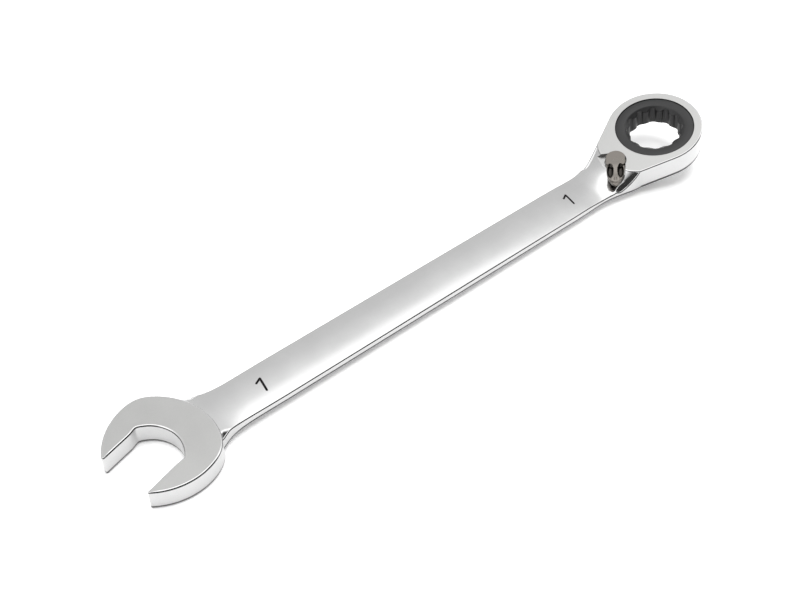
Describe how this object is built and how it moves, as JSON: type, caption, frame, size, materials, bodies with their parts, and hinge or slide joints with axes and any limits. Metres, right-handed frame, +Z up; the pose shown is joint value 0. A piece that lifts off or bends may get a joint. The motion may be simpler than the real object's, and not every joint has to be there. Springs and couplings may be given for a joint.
{
  "type": "ratcheting combination wrench",
  "caption": "Chrome combination wrench with a flat angled open end, a long domed handle and a tilted reversible ratcheting box end with a finger lever.",
  "frame": {"origin": "on the flat underside of the open-end head, on the handle's centreline, just behind the throat of the jaw", "axes": "+X along the handle towards the ratchet head, +Z up out of the face that carries the reversing lever; the open jaw faces -X, turned 15 degrees towards -Y"},
  "size_m": [0.3607, 0.0511, 0.0302],
  "materials": {
    "chrome": "satin-bright chrome plate over forged steel",
    "black_steel": "black phosphate, lightly oiled",
    "dark_nickel": "dark nickel plate",
    "spring_steel": "bright spring steel"
  },
  "bodies": {
    "wrench": {"wrench_body": "chrome", "gear_retaining_ring": "spring_steel", "lever_retaining_ring": "spring_steel"},
    "gear": {"gear_ring": "black_steel"},
    "pawl": {"pawl": "black_steel"},
    "lever": {"reversing_lever": "dark_nickel", "detent_spring": "spring_steel"},
    "plunger": {"detent_plunger": "spring_steel"}
  },
  "joints": [
    {"name": "gear_spin", "type": "hinge", "parent": "wrench", "child": "gear", "pos_m": [0.2956, 0, 0.0239], "axis": [-0.2588, 0, 0.9659], "continuous": true},
    {"name": "lever_turn", "type": "hinge", "parent": "wrench", "child": "lever", "pos_m": [0.26604, 0, 0.01598], "axis": [-0.2588, 0, 0.9659], "range_deg": [-84, 0]},
    {"name": "pawl_shift", "type": "hinge", "parent": "wrench", "child": "pawl", "pos_m": [0.2956, 0, 0.0239], "axis": [-0.2588, 0, 0.9659], "range_deg": [0, 9]},
    {"name": "plunger_slide", "type": "slide", "parent": "lever", "child": "plunger", "axis": [0.7178, 0.6691, 0.1923], "range_m": [-0.0006, 0], "stiffness_N_per_m": 400, "deforming": ["detent_spring"]}
  ],
  "couplings": [
    {"joint": "pawl_shift", "follows": "lever_turn", "ratio": -0.1071}
  ]
}
